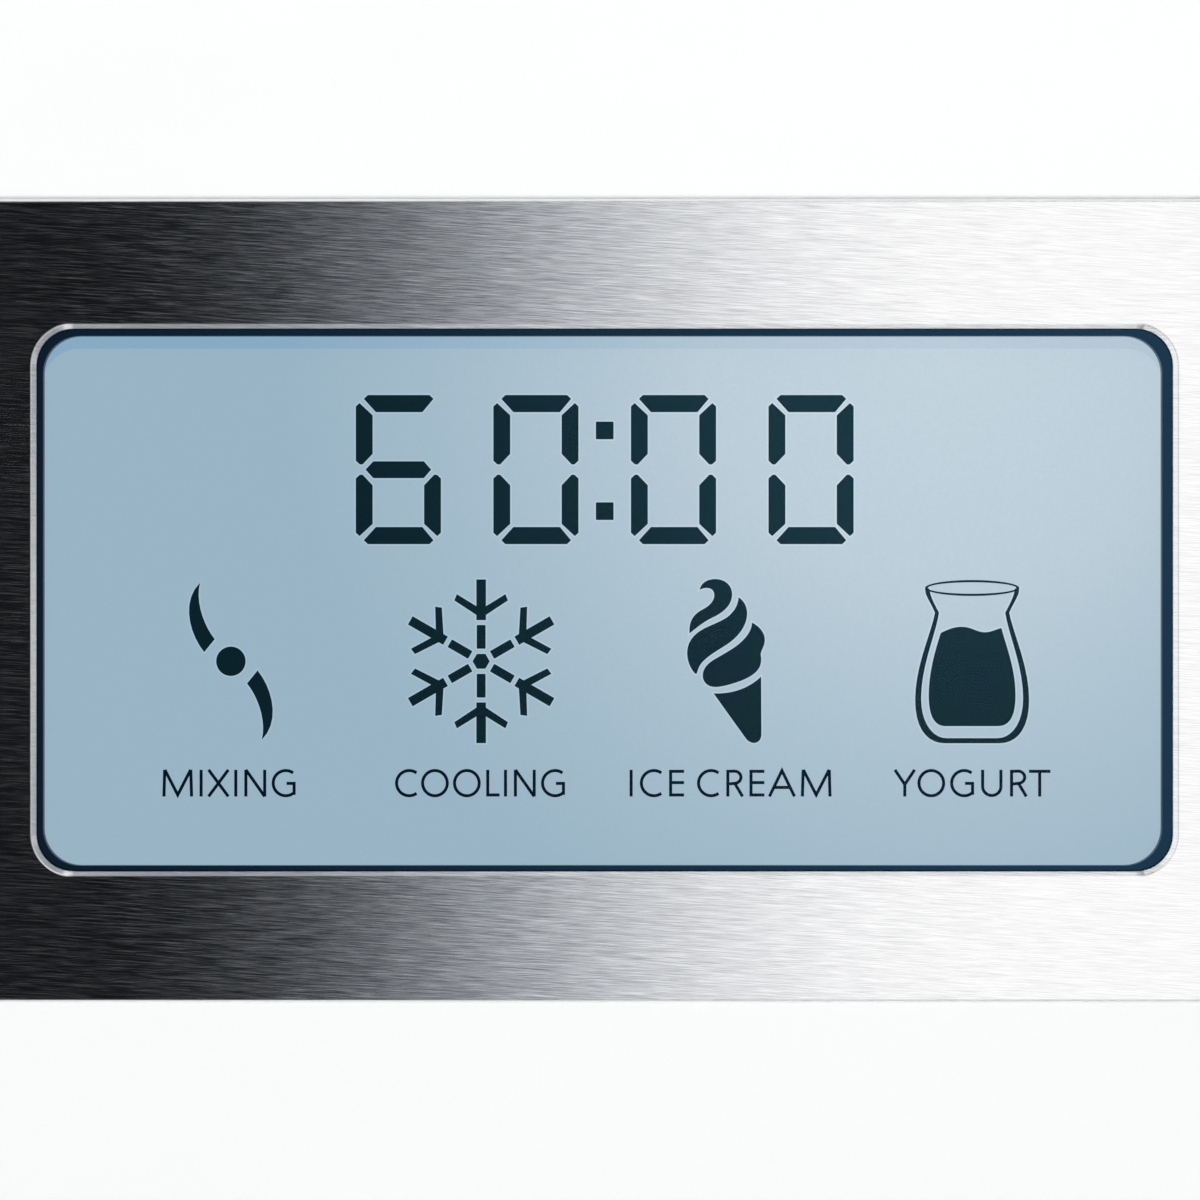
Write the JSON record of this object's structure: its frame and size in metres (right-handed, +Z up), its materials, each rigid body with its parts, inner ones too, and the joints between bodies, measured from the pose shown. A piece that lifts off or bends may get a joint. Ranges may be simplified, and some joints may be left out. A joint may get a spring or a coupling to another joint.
{
  "type": "ice cream maker",
  "caption": "Counter-top self-cooling ice cream and yogurt maker: lift-out bowl, turning paddle, lid with refill cap, brushed steel fascia with display, keys and selector knob.",
  "frame": {"origin": "middle of the whole object's footprint, on the surface it stands on", "axes": "+Z up, +Y to the back, the display faces -Y, +X to the right seen from the front"},
  "size_m": [0.28, 0.386, 0.3],
  "materials": {
    "housing_white": "satin white moulded ABS",
    "base_grey": "dark grey moulded tray",
    "rubber_black": "black moulded rubber",
    "fascia_steel": "stainless steel, brushed left to right",
    "trim_steel": "turned and polished stainless steel",
    "bezel_navy": "dark blue gloss frame",
    "lens_clear": "clear hard-coated window",
    "lcd_blue": "pale blue back-lit display",
    "moulding_white": "white inner moulding",
    "board_green": "green circuit board",
    "switch_black": "black moulded component",
    "aluminium": "drawn aluminium",
    "bowl_steel": "spun stainless steel",
    "copper": "bare copper tube",
    "heater_film": "amber film heater",
    "foam": "rigid insulating foam",
    "chassis_steel": "zinc plated sheet",
    "compressor_black": "black stoved enamel",
    "gearbox_metal": "die-cast alloy",
    "gear_nylon": "natural nylon",
    "bronze": "sintered bronze",
    "steel": "bright ground steel",
    "wire_red": "sleeved wires",
    "fan_black": "black moulded fan",
    "knob_metal": "turned, spun-finish aluminium",
    "key_metal": "satin plated key",
    "grip_grey": "grey moulded grip",
    "paddle_white": "white food-grade moulding",
    "lid_clear": "clear moulded pane",
    "seal_grey": "grey silicone"
  },
  "bodies": {
    "root": {"base_plate": "base_grey", "rubber_feet": "rubber_black", "left_shell": "housing_white", "right_shell": "housing_white", "front_lower_panel": "housing_white", "rear_panel": "housing_white", "rear_spacers": "grip_grey", "top_cover": "housing_white", "well_trim_ring": "trim_steel", "front_fascia": "fascia_steel", "display_bezel": "bezel_navy", "display_window": "lens_clear", "lcd_panel": "lcd_blue", "lcd_holder": "moulding_white", "control_board": "board_green", "tact_switches": "switch_black", "encoder_body": "steel", "cooling_well": "aluminium", "evaporator_coil": "copper", "heater_band": "heater_film", "temperature_sensor": "switch_black", "well_insulation": "foam", "inner_chassis": "chassis_steel", "compressor": "compressor_black", "compressor_grommets": "rubber_black", "condenser": "aluminium", "filter_drier": "copper", "refrigerant_lines": "copper", "fan_shroud": "fan_black", "fan_motor": "fan_black", "power_board": "board_green", "power_inlet": "switch_black", "gearbox_housing": "gearbox_metal", "gearbox_cover": "gearbox_metal", "motor_case": "chassis_steel", "shaft_bushes": "bronze", "shaft_seal": "rubber_black", "idler_pin": "steel", "wire_harness": "wire_red", "housing_screws": "steel"},
    "drive": {"drive_shaft": "steel", "output_gear": "gear_nylon"},
    "idler": {"idler_gear": "gear_nylon"},
    "motor": {"motor_rotor": "steel"},
    "bowl": {"bowl": "bowl_steel", "bowl_grips": "grip_grey"},
    "paddle": {"paddle": "paddle_white"},
    "lid": {"lid_frame": "housing_white", "lid_window": "lid_clear", "lid_seal": "seal_grey", "lid_handle": "trim_steel", "cap_hinge_pin": "steel"},
    "cap": {"refill_cap": "lid_clear"},
    "fan": {"fan_impeller": "fan_black"},
    "knob_carrier": {"encoder_slider": "moulding_white"},
    "knob": {"encoder_shaft": "steel", "selector_knob": "knob_metal"},
    "power_button": {"power_key": "key_metal"},
    "mode_button": {"mode_key": "key_metal"},
    "start_button": {"start_key": "key_metal"}
  },
  "joints": [
    {"name": "drive_spin", "type": "hinge", "parent": "root", "child": "drive", "pos_m": [0, -0.057, 0.1], "axis": [0, 0, 1], "continuous": true},
    {"name": "idler_spin", "type": "hinge", "parent": "root", "child": "idler", "pos_m": [0.045, -0.057, 0.07], "axis": [0, 0, 1], "continuous": true},
    {"name": "motor_spin", "type": "hinge", "parent": "root", "child": "motor", "pos_m": [0.09, -0.057, 0.04], "axis": [0, 0, 1], "continuous": true},
    {"name": "bowl_lift", "type": "slide", "parent": "root", "child": "bowl", "axis": [0, 0, 1], "range_m": [0, 0.17]},
    {"name": "paddle_spin", "type": "hinge", "parent": "bowl", "child": "paddle", "pos_m": [0, -0.057, 0.15], "axis": [0, 0, 1], "continuous": true},
    {"name": "lid_lift", "type": "slide", "parent": "bowl", "child": "lid", "axis": [0, 0, 1], "range_m": [0, 0.12]},
    {"name": "cap_flip", "type": "hinge", "parent": "lid", "child": "cap", "pos_m": [0, -0.059, 0.2764], "axis": [-1, 0, 0], "range_deg": [0, 100]},
    {"name": "fan_spin", "type": "hinge", "parent": "root", "child": "fan", "pos_m": [0.07, 0.135, 0.1], "axis": [0, 1, 0], "continuous": true},
    {"name": "knob_push", "type": "slide", "parent": "root", "child": "knob_carrier", "axis": [0, 1, 0], "range_m": [0, 0.0008], "stiffness_N_per_m": 600},
    {"name": "knob_turn", "type": "hinge", "parent": "knob_carrier", "child": "knob", "pos_m": [0.076, -0.18, 0.212], "axis": [0, 1, 0], "continuous": true},
    {"name": "power_press", "type": "slide", "parent": "root", "child": "power_button", "axis": [0, 1, 0], "range_m": [0, 0.0012], "stiffness_N_per_m": 600},
    {"name": "mode_press", "type": "slide", "parent": "root", "child": "mode_button", "axis": [0, 1, 0], "range_m": [0, 0.0012], "stiffness_N_per_m": 600},
    {"name": "start_press", "type": "slide", "parent": "root", "child": "start_button", "axis": [0, 1, 0], "range_m": [0, 0.0012], "stiffness_N_per_m": 600}
  ],
  "couplings": [
    {"joint": "idler_spin", "follows": "drive_spin", "ratio": -3},
    {"joint": "motor_spin", "follows": "drive_spin", "ratio": 9},
    {"joint": "paddle_spin", "follows": "drive_spin", "ratio": 1}
  ]
}
